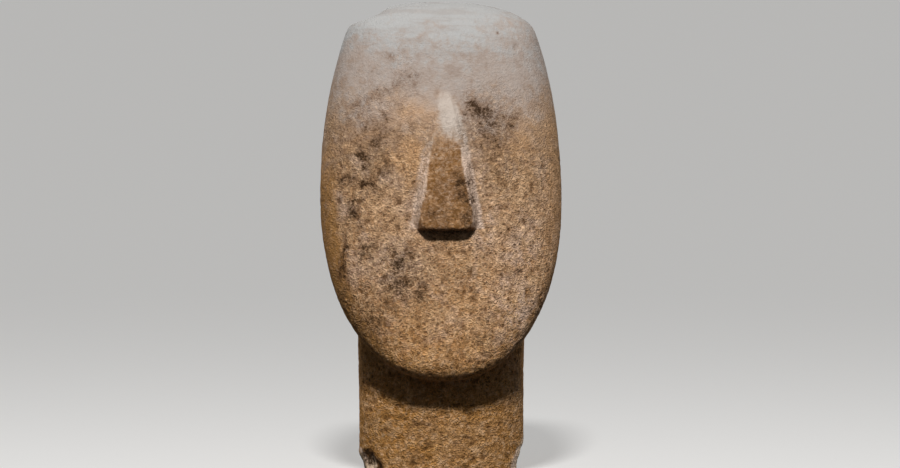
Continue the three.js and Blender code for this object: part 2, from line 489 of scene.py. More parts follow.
# noises: size in millimetres, layers, seed, and falloff where it isn't a half
DRIFT = (26, 3, 11)
CARVED_WAVES = (60, 2, 61)
CARVED_RIPPLES = (17, 2, 71)
CRUST_PATCHES = (24, 3, 101)
CRUST_RIDGES = (3.8, 2, 21)
CRUST_GRAINS = (2.0, 2, 31)
BREAK_FACETS = (5, 3, 81)
SEAM_WANDER = (7, 2, 131)
STRAY_ACROSS = (9, 3, 111, 0.6)
STRAY_UP = (9, 3, 121, 0.6)
BACK_STAINING = (34, 5, 91, 0.7)
# spots: size of a cell, seed, a spot's inner and outer edge, share of cells with one
PITS = (4.6, 41, 0.10, 0.34, 0.5)
HOLES = (15, 51, 0.04, 0.12, 0.45)
# on the neck the crust's ridges lie level: their stretch, and where that ends
LYING = np.array([0.45, 0.45, 1.0])
LYING_TOP = (44, 60)

# heights and depths of the relief in millimetres, and of grains and holes off the crust
WAVES = 0.34
RIPPLES = 0.12
RIDGES = 0.20
GRAINS = 0.12
PIT_DEPTH = 0.32
HOLE_DEPTH = 0.45
BARE_GRAINS = 0.03
BARE_HOLE_DEPTH = 0.10
FACETS = 0.35
SEAM_DEPTH = 0.55

# where marks begin and end, two numbers for smoothstep and four for window: heights, shares
# of the nose's length, distances in from an edge, or how far the skin faces forward
FRONT_FACING = (0.0, 0.55)
NOSE_LENGTH = (-0.06, 0.06, 1.0, 1.03)
NOSE_FRONT = (0.25, 0.6)
NOSE_TIP = (0.9, 0.97)
LEFT_BAND_HEIGHT = (64, 80, 172, 204)
LEFT_BAND_INSET = (7.5, 12.5)
LEFT_BAND_SMOOTH = (104, 130)
RIGHT_BAND_HEIGHT = (96, 140, 180, 236)
RIGHT_BAND_ACROSS = (58, 70)
RIGHT_BAND_FACING = (-0.2, 0.3)
CRUST_TOP = (172, 250)
NECK_CRUST_TOP = (54, 64)
NECK_CRUST_FACING = (-0.5, 0.5)
UNDER_JAW = (0.1, 0.6)
BACK_STAIN_HEIGHT = (20, 60, 215, 262)
BARE_RIDGE = (-0.20, 0.12, 0.16, 0.46)
BARE_RIDGE_ACROSS = (-6.5, 2.5)
BARE_BESIDE = (-0.6, 0.8, 4.2, 8.6)
PATINA_START = (0.22, 0.46)
STAINED_RIDGE = (0.45, 0.6)
FACING_BACK = (0.1, -0.4)
BREAK_FOOT = (0.0, 0.6)
SETTLED = (0.0, 2.0)
LOW_BREAKS = (200, 260)
LIP_WIDTH = 0.2

# how many millimetres the drift moves a border, and stray noise moves a soft mark
INSET_WANDER = 2.5
LEFT_BAND_WANDER = 8
RIGHT_BAND_WANDER = 9
RIGHT_EDGE_WANDER = 3
CRUST_WANDER = 20
BESIDE_WANDER = 0.8
STRAY = 3.0

# where the nose's mark fades across it, and over how much: at the tip, and the change to
# the brow
NOSE_EDGE = (0.98, 0.25)
NOSE_FADE = (0.18, 0.75)
NOSE_TIP_WRAP = 0.35
# how deep behind the face's middle line the marks on and beside the nose still reach
ON_NOSE_DEPTH = 2
BESIDE_DEPTH = 3

# how much thinner the crust is in the bands and on the nose, and how thick elsewhere
CRUST_LOST_LEFT = 0.6
CRUST_LOST_RIGHT = 0.5
CRUST_LOST_ON_NOSE = 0.45
PATCH_CRUST = 0.5
PATCH_CRUST_GAIN = 0.4
NECK_CRUST = 0.8
# the neck's crust starts lower behind this line under the chin
BEHIND_CHIN = -36
BEHIND_CHIN_DROP = 12

# painted shade under the tip of the nose, a dark band where its shadow falls: height, half-width,
# half-height, strength
PAINTED_SHADE_UNDER_NOSE = (150, 16.4, 2.4, 0.7)
BACK_STAIN_SHARE = 0.5
RIDGE_KEPT_CLEAN = 0.85
# bare stone beside the nose, right and then left: its length down the nose, strength
BARE_SIDES = ((1, (0.18, 0.50, 0.99, 1.01), 0.95), (-1, (0.16, 0.55, 0.99, 1.01), 0.62))


def window(low_out, low_in, high_in, high_out, value):
    """1 between the two inner limits, falling smoothly to 0 at the outer ones."""
    return smoothstep(low_out, low_in, value) * (1 - smoothstep(high_in, high_out, value))


def blot(x, z, across, up, wide, high):
    """A soft round mark: exp(-(dx/wide)^2 - (dz/high)^2)."""
    return np.exp(-((x - across) / wide) ** 2 - ((z - up) / high) ** 2)


def gathered(x, z, blots):
    """The strongest, at each point, of a list of soft marks."""
    total = np.zeros(x.shape)
    for across, up, wide, high, strength in blots:
        total = np.maximum(total, strength * blot(x, z, across, up, wide, high))
    return total


class Skin:
    """The smooth surface, with what its wear and its marks are worked out from.

    drift is a slow noise that makes borders wander, front is 1 on the face and 0 behind,
    on_nose is 1 on the wedge, ridge is its flat front, and inset is the way in from the
    left outline. ridges and grains are the crust's own relief.
    """

    def __init__(self, grid):
        self.grid = grid
        self.normal = grid_normals(grid)
        self.facing = -self.normal[..., 1]
        self.x, self.y, self.z = np.moveaxis(grid, 2, 0)
        self.drift = layered_noise(grid, *DRIFT)
        self.front = smoothstep(*FRONT_FACING, self.facing)
        self.inset = self.x + half_width(self.z) + INSET_WANDER * self.drift
        self.find_nose()
        lying = ridged_noise(grid * LYING, *CRUST_RIDGES)
        self.ridges = ridged_noise(grid, *CRUST_RIDGES)
        self.ridges += (lying - self.ridges) * (1 - smoothstep(*LYING_TOP, self.z))
        self.grains = layered_noise(grid, *CRUST_GRAINS)

    def find_nose(self):
        """The wedge's mark: sharp-edged at the tip, and blurred into the brow at the top."""
        self.down, self.inward, across = nose_place(self.x, self.y, self.z)
        blur = 1 - np.clip(self.down, 0, 1)
        past_edge = across - NOSE_EDGE[0] + NOSE_EDGE[1] * blur
        on_nose = 1 - smoothstep(0, 1, past_edge / (NOSE_FADE[0] + NOSE_FADE[1] * blur))
        on_nose *= window(*NOSE_LENGTH, self.down)
        on_nose *= self.front * (self.y < face_line(self.z) + ON_NOSE_DEPTH)
        self.on_nose = on_nose
        depth = self.inward - NOSE_TIP_WRAP * smoothstep(*NOSE_TIP, self.down)
        self.ridge = on_nose * (1 - smoothstep(*NOSE_FRONT, depth))

    def bands(self):
        """The ochre bands along the left and the right edge of the face."""
        left = window(*LEFT_BAND_HEIGHT, self.z + LEFT_BAND_WANDER * self.drift)
        left = left * (1 - smoothstep(*LEFT_BAND_INSET, self.inset))
        right = window(*RIGHT_BAND_HEIGHT, self.z + RIGHT_BAND_WANDER * self.drift)
        right = right * smoothstep(*RIGHT_BAND_ACROSS, self.x + RIGHT_EDGE_WANDER * self.drift)
        right *= smoothstep(*RIGHT_BAND_FACING, self.facing)
        return left, right

    def crust(self, left_band, right_band):
        """How thick the crust lies: most low on the face, less in the bands and behind."""
        low = 1 - smoothstep(*CRUST_TOP, self.z + CRUST_WANDER * self.drift)
        smooth_band = left_band * smoothstep(*LEFT_BAND_SMOOTH, self.z)
        crust = self.front * low * (1 - CRUST_LOST_LEFT * smooth_band)
        crust = np.clip(crust * (1 - CRUST_LOST_RIGHT * right_band), 0, 1)
        patchy = smoothstep(-0.6, 0.8, layered_noise(self.grid, *CRUST_PATCHES))
        crust = np.maximum(crust, (PATCH_CRUST + PATCH_CRUST_GAIN * patchy) * low)
        neck_z = self.z + BEHIND_CHIN_DROP * (self.y > BEHIND_CHIN)
        neck = 1 - smoothstep(*NECK_CRUST_TOP, neck_z)
        neck *= 1 - smoothstep(*UNDER_JAW, self.normal[..., 2])
        neck = NECK_CRUST * neck * smoothstep(*NECK_CRUST_FACING, self.facing)
        return np.maximum(crust, neck) * (1 - CRUST_LOST_ON_NOSE * self.ridge)

    def broken(self):
        """1 along the lips of the chips and breaks, fading to either side."""
        lips = np.zeros(self.x.shape)
        for gauge in chip_gauges(self.x, self.y, self.z):
            lips = np.maximum(lips, np.exp(-((gauge - 1) / LIP_WIDTH) ** 2))
        return lips * smoothstep(*BREAK_FOOT, self.z)

    def seam(self):
        """The ragged seam: a straight line in from the outline, bent by noise."""
        width = SEAM_HALF_WIDTH + SEAM_WIDENING * (1 - smoothstep(*SEAM_WIDE_BELOW, self.z))
        bend = 1.2 * self.grains + 1.6 * layered_noise(self.grid, *SEAM_WANDER)
        climb = self.z - SEAM_SPAN[0]
        line = SEAM_INSET[0] + np.diff(SEAM_INSET) * climb / np.diff(SEAM_SPAN)
        seam = np.exp(-((self.inset - line - bend) / width) ** 2)
        return seam * (window(*SEAM_ENDS, self.z) * self.front)

    def carving(self):
        """Slow waves left by carving, and the hollows under the brow."""
        waves = WAVES * layered_noise(self.grid, *CARVED_WAVES)
        relief = waves + RIPPLES * layered_noise(self.grid, *CARVED_RIPPLES)
        off_nose = self.front * (1 - self.on_nose)
        for across, up, radius, depth in HOLLOWS:
            relief -= off_nose * depth * blot(self.x, self.z, across, up, radius, radius)
        return relief

    def texture(self, crust, broken, seam):
        """Ridges, grains, pits and holes in the crust, dents, rough breaks and the seam."""
        pits = cell_spots(self.grid, *PITS)
        holes = cell_spots(self.grid, *HOLES)
        raised = RIDGES * self.ridges + GRAINS * self.grains
        texture = crust * raised - crust * (PIT_DEPTH * pits + HOLE_DEPTH * holes)
        texture += (1 - crust) * (BARE_GRAINS * self.grains - BARE_HOLE_DEPTH * holes)
        texture += broken * FACETS * layered_noise(self.grid, *BREAK_FACETS)
        for across, up, radius, depth in DENTS:
            texture -= self.front * depth * blot(self.x, self.z, across, up, radius, radius)
        return texture - SEAM_DEPTH * seam

    def staining_and_painted_shade(self, astray, seam):
        """Old staining on the face, in the seam and in patches behind; partly painted shade on
        the left jaw and in the neck's notch, and painted shade under the nose.
        """
        stain = self.front * gathered(*astray, STAINS_AND_PAINTED_SHADE)
        stain = stain + seam * smoothstep(-0.9, 0.4, self.ridges + 2 * self.grains)
        behind = smoothstep(-0.1, 1.3, layered_noise(self.grid, *BACK_STAINING))
        behind = BACK_STAIN_SHARE * behind * window(*BACK_STAIN_HEIGHT, self.z)
        stain = np.maximum(stain, behind * smoothstep(*FACING_BACK, self.facing))
        clean = RIDGE_KEPT_CLEAN * self.on_nose
        stain *= 1 - clean * (1 - smoothstep(*STAINED_RIDGE, self.down))
        # painted shade: a dark band on the face just under the nose's tip, where its shadow falls
        up, wide, high, strength = PAINTED_SHADE_UNDER_NOSE
        painted_nose_shade = ((self.x - NOSE_OFF_CENTRE) / wide) ** 6 + ((self.z - up) / high) ** 4
        return np.maximum(stain, strength * np.exp(-painted_nose_shade) * (self.y < 0))

    def bare(self):
        """Rubbed pale stone: high on the nose, down its two sides and on the neck's rims."""
        off_centre = self.x - NOSE_OFF_CENTRE
        bare = window(*BARE_RIDGE, self.down - 0.004 * off_centre) * self.on_nose
        bare *= smoothstep(*BARE_RIDGE_ACROSS, self.x + self.drift)
        widening = np.diff(NOSE_RIDGE_HALF_WIDTH) * np.clip(self.down, 0, 1)
        from_ridge = np.abs(off_centre) - (NOSE_RIDGE_HALF_WIDTH[0] + widening)
        beside = window(*BARE_BESIDE, from_ridge + BESIDE_WANDER * self.drift)
        beside = beside * (self.y < face_line(self.z) + BESIDE_DEPTH)
        for side, length, strength in BARE_SIDES:
            rubbed = beside * window(*length, self.down) * (side * off_centre > 0)
            bare = np.maximum(bare, strength * rubbed)
        for low_x, low_z, high_x, high_z, wide in RIMS:
            climb = (self.z - low_z) / (high_z - low_z)
            rim = np.exp(-((self.x - low_x - (high_x - low_x) * climb) / wide) ** 2)
            rim = rim * window(low_z - 5, low_z, high_z - 3, high_z + 1, self.z)
            bare = np.maximum(bare, RIM_SHARE * rim * (self.y < 0))
        return bare


def worn_stone(grid):
    """The finished surface and its marks.

    Relief is a sum of slow waves left by carving, a granular crust of thin ridges and pits
    low on the face and neck, dents, and rough breaks, moved along the surface normal.
    """
    skin = Skin(grid)
    left_band, right_band = skin.bands()
    crust = skin.crust(left_band, right_band)
    broken = skin.broken()
    seam = skin.seam()
    texture = skin.texture(crust, broken, seam)
    settled = smoothstep(*SETTLED, skin.z)
    moved = grid + skin.normal * ((skin.carving() + texture) * settled)[..., None]
    moved[..., 2] = np.maximum(moved[..., 2], 0)
    moved[0, :, 2] = 0

    astray = (
        skin.x + STRAY * layered_noise(grid, *STRAY_ACROSS),
        skin.z + STRAY * layered_noise(grid, *STRAY_UP),
    )
    bare = skin.bare()
    patina = smoothstep(*PATINA_START, skin.down + 0.008 * skin.x)
    marks = {
        "relief": texture,
        "crust": crust,
        # stains, and painted shade under the nose, on the left jaw and in the neck's notch
        "stain": skin.staining_and_painted_shade(astray, seam),
        "bare": bare,
        "pale": skin.front * gathered(*astray, PALES),
        "warm": skin.front * gathered(*astray, WARMS),
        "broken": broken * (1 - smoothstep(*LOW_BREAKS, skin.z)),
        "ochre": np.clip(left_band + 0.4 * right_band, 0, 1) * (1 - broken),
        "patina": skin.ridge * (1 - np.clip(bare, 0, 1)) * patina,
    }
    return moved, marks


# ---- the mesh ----

# where the neck runs into the jaw, as gauges off both forms and as places
JOIN_REACH_ON_HEAD = 0.2
JOIN_REACH_ON_NECK = 0.25
JOIN_HEIGHT = (30, 50)
JOIN_BEHIND_CHIN = (-34, -14)
FOOT_KEPT_SHARP = (0.0, 1.5)
EASING = 0.5
EDGE_ROUNDS = 2
JOIN_ROUNDS = 60


def stone_grid():
    """The smooth carved surface, its edges softly worn and its neck run into the jaw."""
    grid = even_rows(surface_profiles(column_angles()))
    x, y, z = np.moveaxis(grid, 2, 0)
    off_head = (head_gauge(x, y, z) - 1) / JOIN_REACH_ON_HEAD
    off_neck = (neck_gauge(x, y, z) - 1) / JOIN_REACH_ON_NECK
    join = np.exp(-off_head ** 2 - off_neck ** 2)
    join = (join * smoothstep(*JOIN_HEIGHT, z) * smoothstep(*JOIN_BEHIND_CHIN, y))[..., None]
    above = smoothstep(*FOOT_KEPT_SHARP, z)[..., None]
    grid = eased(grid, EASING * above, EDGE_ROUNDS)
    return eased(grid, EASING * join, JOIN_ROUNDS)


def shown(name, data):
    """A mesh, lamp or camera as an object in the scene."""
    thing = bpy.data.objects.new(name, data)
    bpy.context.collection.objects.link(thing)
    return thing


def stone_mesh(name, grid, marks):
    """A closed mesh of the grid: quads between rows, and a fan at each of the two poles."""
    rows, columns = grid.shape[:2]
    inner = grid[1:-1].reshape(-1, 3)
    points = np.concatenate([inner, grid[:1, 0], grid[-1:, 0]]) * MM
    column = np.arange(columns)
    after = (column + 1) % columns
    base = np.arange(rows - 3)[:, None] * columns
    corners = [base + column, base + after, base + columns + after, base + columns + column]
    quads = np.stack(corners, axis=-1).reshape(-1, 4)
    last = (rows - 3) * columns
    under, crown = len(inner), len(inner) + 1
    fans = [(under, after[k], k) for k in column]
    fans += [(crown, last + k, last + after[k]) for k in column]
    mesh = bpy.data.meshes.new(name)
    mesh.from_pydata(points.tolist(), [], quads.tolist() + fans)
    for mark, values in marks.items():
        layer = mesh.attributes.new(mark, "FLOAT", "POINT")
        flat = np.concatenate([values[1:-1].ravel(), values[:1, 0], values[-1:, 0]])
        layer.data.foreach_set("value", flat.astype(np.float32))
    mesh.shade_smooth()
    mesh.update()
    return shown(name, mesh)


# ---- materials ----

# how far each seed moves a noise, so that no two lie alike
SEED_SHIFT = (17.3, 9.1, 5.7)


class Value:
    """One number, colour or direction in a material; arithmetic on it adds Math nodes."""

    def __init__(self, finish, socket):
        self.finish = finish
        self.socket = socket

    def math(self, operation, *terms):
        return self.finish.add("ShaderNodeMath", {"operation": operation}, dict(enumerate(terms)))

    def __add__(self, other):
        return self.math("ADD", self, other)

    def __sub__(self, other):
        return self.math("SUBTRACT", self, other)

    def __rsub__(self, other):
        return self.math("SUBTRACT", other, self)

    def __mul__(self, other):
        return self.math("MULTIPLY", self, other)

    def __truediv__(self, other):
        return self.math("DIVIDE", self, other)

    def size(self):
        return self.math("ABSOLUTE", self)


class Finish:
    """A material or a world being made: its node tree and its one shader."""

    def __init__(self, owner, shader="Principled BSDF"):
        owner.use_nodes = True
        self.owner = owner
        self.tree = owner.node_tree
        self.shader = self.tree.nodes[shader]

    def add(self, kind, settings, sockets, result=0):
        """A node of this kind. Settings come first, then its sockets, as values or links."""
        node = self.tree.nodes.new(kind)
        for key, value in settings.items():
            if key == "stops":
                self.set_stops(node.color_ramp, value)
            else:
                setattr(node, key, value)
        for key, value in sockets.items():
            self.feed(node.inputs[key], value)
        return Value(self, node.outputs[result])

    def feed(self, socket, value):
        """Links a Value to a socket, or sets the socket to a plain value."""
        if isinstance(value, Value):
            self.tree.links.new(value.socket, socket)
        else:
            socket.default_value = value

    def set_stops(self, ramp, stops):
        """Colour stops, each a place from 0 to 1 and a colour."""
        ramp.interpolation = "EASE"
        while len(ramp.elements) < len(stops):
            ramp.elements.new(0.5)
        for element, (place, colour) in zip(ramp.elements, stops):
            element.position = place
            element.color = (*colour, 1)

    def shade(self, **sockets):
        """Feeds the shader; underscores stand for the spaces in its sockets' names."""
        for key, value in sockets.items():
            self.feed(self.shader.inputs[key.replace("_", " ")], value)

    def mark(self, name):
        """A mark stored on the mesh."""
        return self.add("ShaderNodeAttribute", {"attribute_name": name}, {}, "Fac")

    def place(self, stretch=(1, 1, 1), shift=(0, 0, 0)):
        """Object coordinates in the stone's millimetres, stretched and shifted."""
        spot = self.add("ShaderNodeTexCoord", {}, {}, "Object")
        scale = tuple(k / MM for k in stretch)
        sockets = {"Vector": spot, "Scale": scale, "Location": shift}
        return self.add("ShaderNodeMapping", {}, sockets)

    def noise(self, size, detail=2.0, roughness=0.5, distortion=0.0, seed=0, stretch=(1, 1, 1)):
        """Smooth noise from 0 to 1 whose features are about size millimetres across."""
        spot = self.place(stretch, tuple(seed * k for k in SEED_SHIFT))
        sockets = {"Vector": spot, "Scale": 1 / size, "Detail": detail}
        sockets.update({"Roughness": roughness, "Distortion": distortion})
        return self.add("ShaderNodeTexNoise", {}, sockets, "Fac")

    def cell_edge(self, size, wobble, seed):
        """Distance, in cells, to the border between random cells about size across."""
        sockets = {"Vector": self.place(), "Scale": 1 / size, "Detail": 1.0}
        shift = self.add("ShaderNodeTexNoise", {}, sockets, "Color")
        sockets = {0: shift, "Scale": wobble}
        shift = self.add("ShaderNodeVectorMath", {"operation": "SCALE"}, sockets)
        sockets = {0: self.place(shift=(seed, seed, seed)), 1: shift}
        spot = self.add("ShaderNodeVectorMath", {}, sockets)
        settings = {"feature": "DISTANCE_TO_EDGE"}
        sockets = {"Vector": spot, "Scale": 1 / size}
        return self.add("ShaderNodeTexVoronoi", settings, sockets, "Distance")

    def step(self, value, low, high):
        """0 below low and 1 above high, smooth between; or the reverse if low is higher."""
        sockets = {"Value": value, "From Min": low, "From Max": high}
        return self.add("ShaderNodeMapRange", {"interpolation_type": "SMOOTHSTEP"}, sockets)

    def mix(self, amount, first, second):
        """The first colour where amount is 0 and the second where it is 1."""
        first, second = ((*c, 1) if isinstance(c, tuple) else c for c in (first, second))
        settings = {"data_type": "RGBA", "clamp_factor": True}
        return self.add("ShaderNodeMix", settings, {0: amount, 6: first, 7: second}, 2)


GREY_WHITE = (0.412, 0.407, 0.396)
PINK_GREY = (0.40, 0.33, 0.285)
TAN = (0.39, 0.248, 0.148)
WARM_TAN = (0.57, 0.275, 0.098)
OCHRE_BROWN = (0.55, 0.255, 0.066)
PALE_GRAIN = (1.0, 0.655, 0.385)
MAUVE_SHADE = (0.27, 0.195, 0.155)
BROWN_SHADE = (0.24, 0.115, 0.043)
PALE_PINK = (0.80, 0.59, 0.47)
OCHRE_GRAIN = (1.0, 0.56, 0.205)
WARM_STREAK = (0.59, 0.325, 0.148)
BARE_WHITE = (0.56, 0.475, 0.405)
BARE_PINK = (0.80, 0.60, 0.47)
DARK_GAP = (0.105, 0.045, 0.015)
# the colours of old staining, also laid as painted shade under the nose, on the left jaw and in
# the neck's notch
STAIN_AND_PAINTED_SHADE_TONE = (0.160, 0.083, 0.040)
STAIN_AND_PAINTED_SHADE_BROWN = (0.040, 0.019, 0.007)
BAND_OCHRE = (0.38, 0.185, 0.048)
BREAK_CREAM = (0.84, 0.64, 0.45)
NOSE_BROWN = (0.225, 0.098, 0.023)

# the ground colour by height, from the foot at 0 to the crown at 1
HEIGHT_COLOURS = (
    (0.06, OCHRE_BROWN),
    (0.32, WARM_TAN),
    (0.67, TAN),
    (0.81, PINK_GREY),
    (0.93, GREY_WHITE),
)
# how many millimetres two noises and the distance to a side move that height
DRIFT_LIFT = 70
MOTTLE_LIFT = 75
SIDE_FALL = 0.25

# noises: size in millimetres, detail, roughness, distortion, seed and any stretch
LEVEL_DRIFT = (38, 3, 0.55, 0.3, 1)
MOTTLE = (7, 4, 0.7, 0.3, 8)
CLOUDS = (15, 4, 0.6, 0.6, 2)
CROWN_STREAKS = (4.5, 3, 0.6, 0.2, 14, (0.14, 0.3, 1.0))
STRAND_BREAKS = (2.6, 2, 0.6, 0.5, 5)
GRAIN = (0.8, 2, 0.6, 0, 4)
PATCHES = (11, 3, 0.6, 0.4, 7)
CLUMPS = (3.6, 3, 0.65, 0.6, 17)
SPECKS = (1.5, 4, 0.8, 0.3, 6)
SPECK_GROUPS = (5, 3, 0.7, 0.3, 9)
SKIN_GRAIN = (1.6, 3, 0.6, 0.2, 12)
# networks of cell borders: size in millimetres, wobble, seed
STRAND_NET = (2.3, 2.2, 3)
FINE_NET = (1.35, 1.3, 11)

# heights in millimetres between which a layer comes in, or dies out if they fall
WARM_CLOUD_TOP = (235, 180)
BLUSH_FOOT = (55, 110)
SHADE_TOP = (292, 225)
BROWN_TO_MAUVE = (90, 185)
STREAKS_FOOT = (225, 262)
STRANDS_THIN = (128, 196)
STRANDS_THIN_BELOW = (62, 40)
OCHRE_TO_PALE = (55, 130)
PINK_TO_WHITE = (190, 206)

# how much of each layer's colour shows where it is strongest
WARM_CLOUD_SHARE = 0.6
BLUSH_SHARE = 0.45
SHADE_SHARE = 0.55
WARM_PATCH_SHARE = 0.85
PALE_PATCH_SHARE = 0.8
STREAK_SHARE = 0.22
CLUMP_SHARE = 0.60
GAP_SHARE = 0.95
STRAND_SHARE = 0.56
PALE_STRAND_GAIN = 0.3
GRAIN_SHARE = 0.4
OCHRE_SHARE = 0.75
PATINA_SHARE = 0.92
RAISED_SHARE = 0.3
BARE_SHARE = 0.9
BREAK_SHARE = 0.92
# the staining layers, which also lay the painted shade
STAIN_AND_PAINTED_SHADE_TONE_SHARE = 0.7
STAIN_AND_PAINTED_SHADE_SHARE = 0.92

# how far noise breaks up a mark's border
BARE_RAGGEDNESS = 0.9
SPECK_RAGGEDNESS = 2.8
GROUP_RAGGEDNESS = 2.2

GLOSS = 0.05
BARE_ROUGHNESS = 0.55
CRUST_ROUGHNESS = 0.3
BUMP_DEPTH = 0.0013


class Marble(Finish):
    """Cool bare marble at the crown under warm burial crust that thickens downwards.

    Each layer is a colour laid over those before it. up is millimetres above the foot.
    """

    def __init__(self):
        super().__init__(bpy.data.materials.new("weathered_marble"))
        self.up = self.add("ShaderNodeSeparateXYZ", {}, {0: self.place()}, "Z")
        self.crust = self.mark("crust")
        # stains, with the painted shade under the nose, on the left jaw and in the neck's notch
        self.stain = self.mark("stain")
        self.pale = self.mark("pale")
        self.mottle = self.noise(*MOTTLE)
        self.breaks = self.noise(*STRAND_BREAKS)
        self.grain = self.noise(*GRAIN)
        self.colour = self.ground()
        self.lay_clouds()
        height = self.lay_crust()
        self.lay_marks()
        self.lay_stains_and_painted_shade()
        bump = {"Strength": 1.0, "Distance": BUMP_DEPTH, "Height": height}
        self.shade(
            Base_Color=self.colour,
            Roughness=self.crust * CRUST_ROUGHNESS + BARE_ROUGHNESS,
            Normal=self.add("ShaderNodeBump", {}, bump, "Normal"),
            Specular_IOR_Level=GLOSS,
        )

    def rising(self, low, high):
        """0 below a height and 1 above another, or the reverse if low is higher."""
        return self.step(self.up, low, high)

    def lay(self, amount, colour):
        """Lays a colour over what is there, as strongly as amount says."""
        self.colour = self.mix(amount, self.colour, colour)

    def ground(self):
        """The stone's own colour by height, its borders moved up and down by noise."""
        side = self.add("ShaderNodeSeparateXYZ", {}, {0: self.place()}, "X").size()
        drift = (self.noise(*LEVEL_DRIFT) - 0.5) * DRIFT_LIFT
        mottle = (self.mottle - 0.5) * MOTTLE_LIFT
        level = (self.up + drift + mottle - side * SIDE_FALL) / CROWN_Z
        return self.add("ShaderNodeValToRGB", {"stops": HEIGHT_COLOURS}, {0: level}, "Color")

    def lay_clouds(self):
        """Soft clouds, warmer here and paler there, and faint streaks along the crown."""
        cloud = self.noise(*CLOUDS)
        warm = self.step(cloud, 0.55, 0.38) * self.rising(*WARM_CLOUD_TOP)
        self.lay(warm * WARM_CLOUD_SHARE, WARM_STREAK)
        blush = self.step(cloud, 0.50, 0.64) * self.crust * self.rising(*BLUSH_FOOT)
        self.lay(blush * BLUSH_SHARE, PALE_PINK)
        shade = self.step(self.mottle, 0.54, 0.32) * self.rising(*SHADE_TOP)
        shade_colour = self.mix(self.rising(*BROWN_TO_MAUVE), BROWN_SHADE, MAUVE_SHADE)
        self.lay(shade * SHADE_SHARE, shade_colour)
        warm_patches = self.mark("warm") * self.step(self.mottle, 0.2, 0.5)
        self.lay(warm_patches * WARM_PATCH_SHARE, WARM_STREAK)
        pale_patches = self.pale * self.step(self.mottle, 0.35, 0.6)
        self.lay(pale_patches * PALE_PATCH_SHARE, PALE_PINK)
        streaks = self.step(self.noise(*CROWN_STREAKS), 0.55, 0.34)
        self.lay(streaks * self.rising(*STREAKS_FOOT) * STREAK_SHARE, MAUVE_SHADE)

    def lay_crust(self):
        """Pale ridges round small dark pits, broken into short strands; gives their height."""
        edge = self.cell_edge(*STRAND_NET)
        fine_edge = self.cell_edge(*FINE_NET)
        strands = self.step(edge, 0.15, 0.03) * self.step(self.breaks, 0.40, 0.58)
        fine_strands = self.step(fine_edge, 0.13, 0.02) * self.step(self.breaks, 0.56, 0.40)
        strands = strands.math("MAXIMUM", strands, fine_strands)
        gaps = self.step(edge, 0.11, 0.38) * self.step(self.breaks, 0.64, 0.42)
        clump = self.noise(*CLUMPS)
        dark_clumps = self.step(clump, 0.50, 0.30) * (self.crust * CLUMP_SHARE + 0.03)
        self.lay(dark_clumps, DARK_GAP)
        pale_clumps = self.step(clump, 0.52, 0.70) * self.crust
        self.lay(pale_clumps * CLUMP_SHARE, PALE_GRAIN)

        patchy = self.step(self.noise(*PATCHES), 0.36, 0.62) * 0.75 + 0.25
        thin = 1.0 - self.rising(*STRANDS_THIN) * 0.5 - self.rising(*STRANDS_THIN_BELOW) * 0.3
        # more dark gaps where stained, and where shade is painted
        amount = self.crust * (patchy + self.stain * 0.5) * thin
        self.lay(gaps * amount * GAP_SHARE, DARK_GAP)
        grain_colour = self.mix(self.rising(*OCHRE_TO_PALE), OCHRE_GRAIN, PALE_GRAIN)
        strength = self.pale * PALE_STRAND_GAIN + STRAND_SHARE
        self.lay(strands * amount * strength, grain_colour)
        pale_grains = self.step(self.grain, 0.62, 0.80) * self.crust
        self.lay(pale_grains * GRAIN_SHARE, grain_colour)
        self.lay(self.step(self.grain, 0.42, 0.24) * (self.crust * 0.6 + 0.12), DARK_GAP)

        height = strands * 0.55 - gaps * 0.35 + self.grain * 0.5
        return height * (self.crust * 0.9 + 0.1) + self.noise(*SKIN_GRAIN) * 0.35

    def lay_marks(self):
        """The ochre bands, the nose's patina, dark pits, pale ridges, bare stone and breaks."""
        ochre = self.mark("ochre") * self.step(self.mottle, 0.25, 0.5)
        self.lay(ochre * OCHRE_SHARE, BAND_OCHRE)
        patina = self.mark("patina") * self.step(self.breaks, 0.8, 0.3)
        self.lay(patina * PATINA_SHARE, NOSE_BROWN)
        relief = self.mark("relief")
        self.lay(self.step(relief, -0.04, -0.30) * (self.crust * 0.6 + 0.1), DARK_GAP)
        self.lay(self.step(relief, 0.06, 0.24) * self.crust * RAISED_SHARE, PALE_GRAIN)
        ragged = (self.breaks - 0.5) * BARE_RAGGEDNESS + (self.mottle - 0.5) * BARE_RAGGEDNESS
        bare = self.step(self.mark("bare") + ragged, 0.05, 1.0)
        bare_colour = self.mix(self.rising(*PINK_TO_WHITE), BARE_PINK, BARE_WHITE)
        self.lay(bare * BARE_SHARE, bare_colour)
        fresh = self.mark("broken") * self.step(self.mottle + self.breaks, 0.6, 0.9)
        self.lay(fresh * BREAK_SHARE, BREAK_CREAM)

    def lay_stains_and_painted_shade(self):
        """Old staining, and the painted shade under the nose, on the left jaw and in the neck's
        notch: a brown tone, with dark specks gathered in it.
        """
        specks = (self.noise(*SPECKS) - 0.5) * SPECK_RAGGEDNESS
        specks = specks + (self.noise(*SPECK_GROUPS) - 0.5) * GROUP_RAGGEDNESS
        reach = self.step(self.stain, 0.02, 0.25)
        shade = self.step(self.stain + specks, -0.3, 1.1) * reach
        self.lay(shade * STAIN_AND_PAINTED_SHADE_TONE_SHARE, STAIN_AND_PAINTED_SHADE_TONE)
        dark = self.step(self.stain + specks, 0.5, 1.3) * reach
        self.lay(dark * STAIN_AND_PAINTED_SHADE_SHARE, STAIN_AND_PAINTED_SHADE_BROWN)


# ---- the piece ----

marble = stone_mesh("weathered_marble_head", *worn_stone(stone_grid()))
marble.data.materials.append(Marble().owner)
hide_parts("marble_head")
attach(marble, "root")

# ---- the studio ----

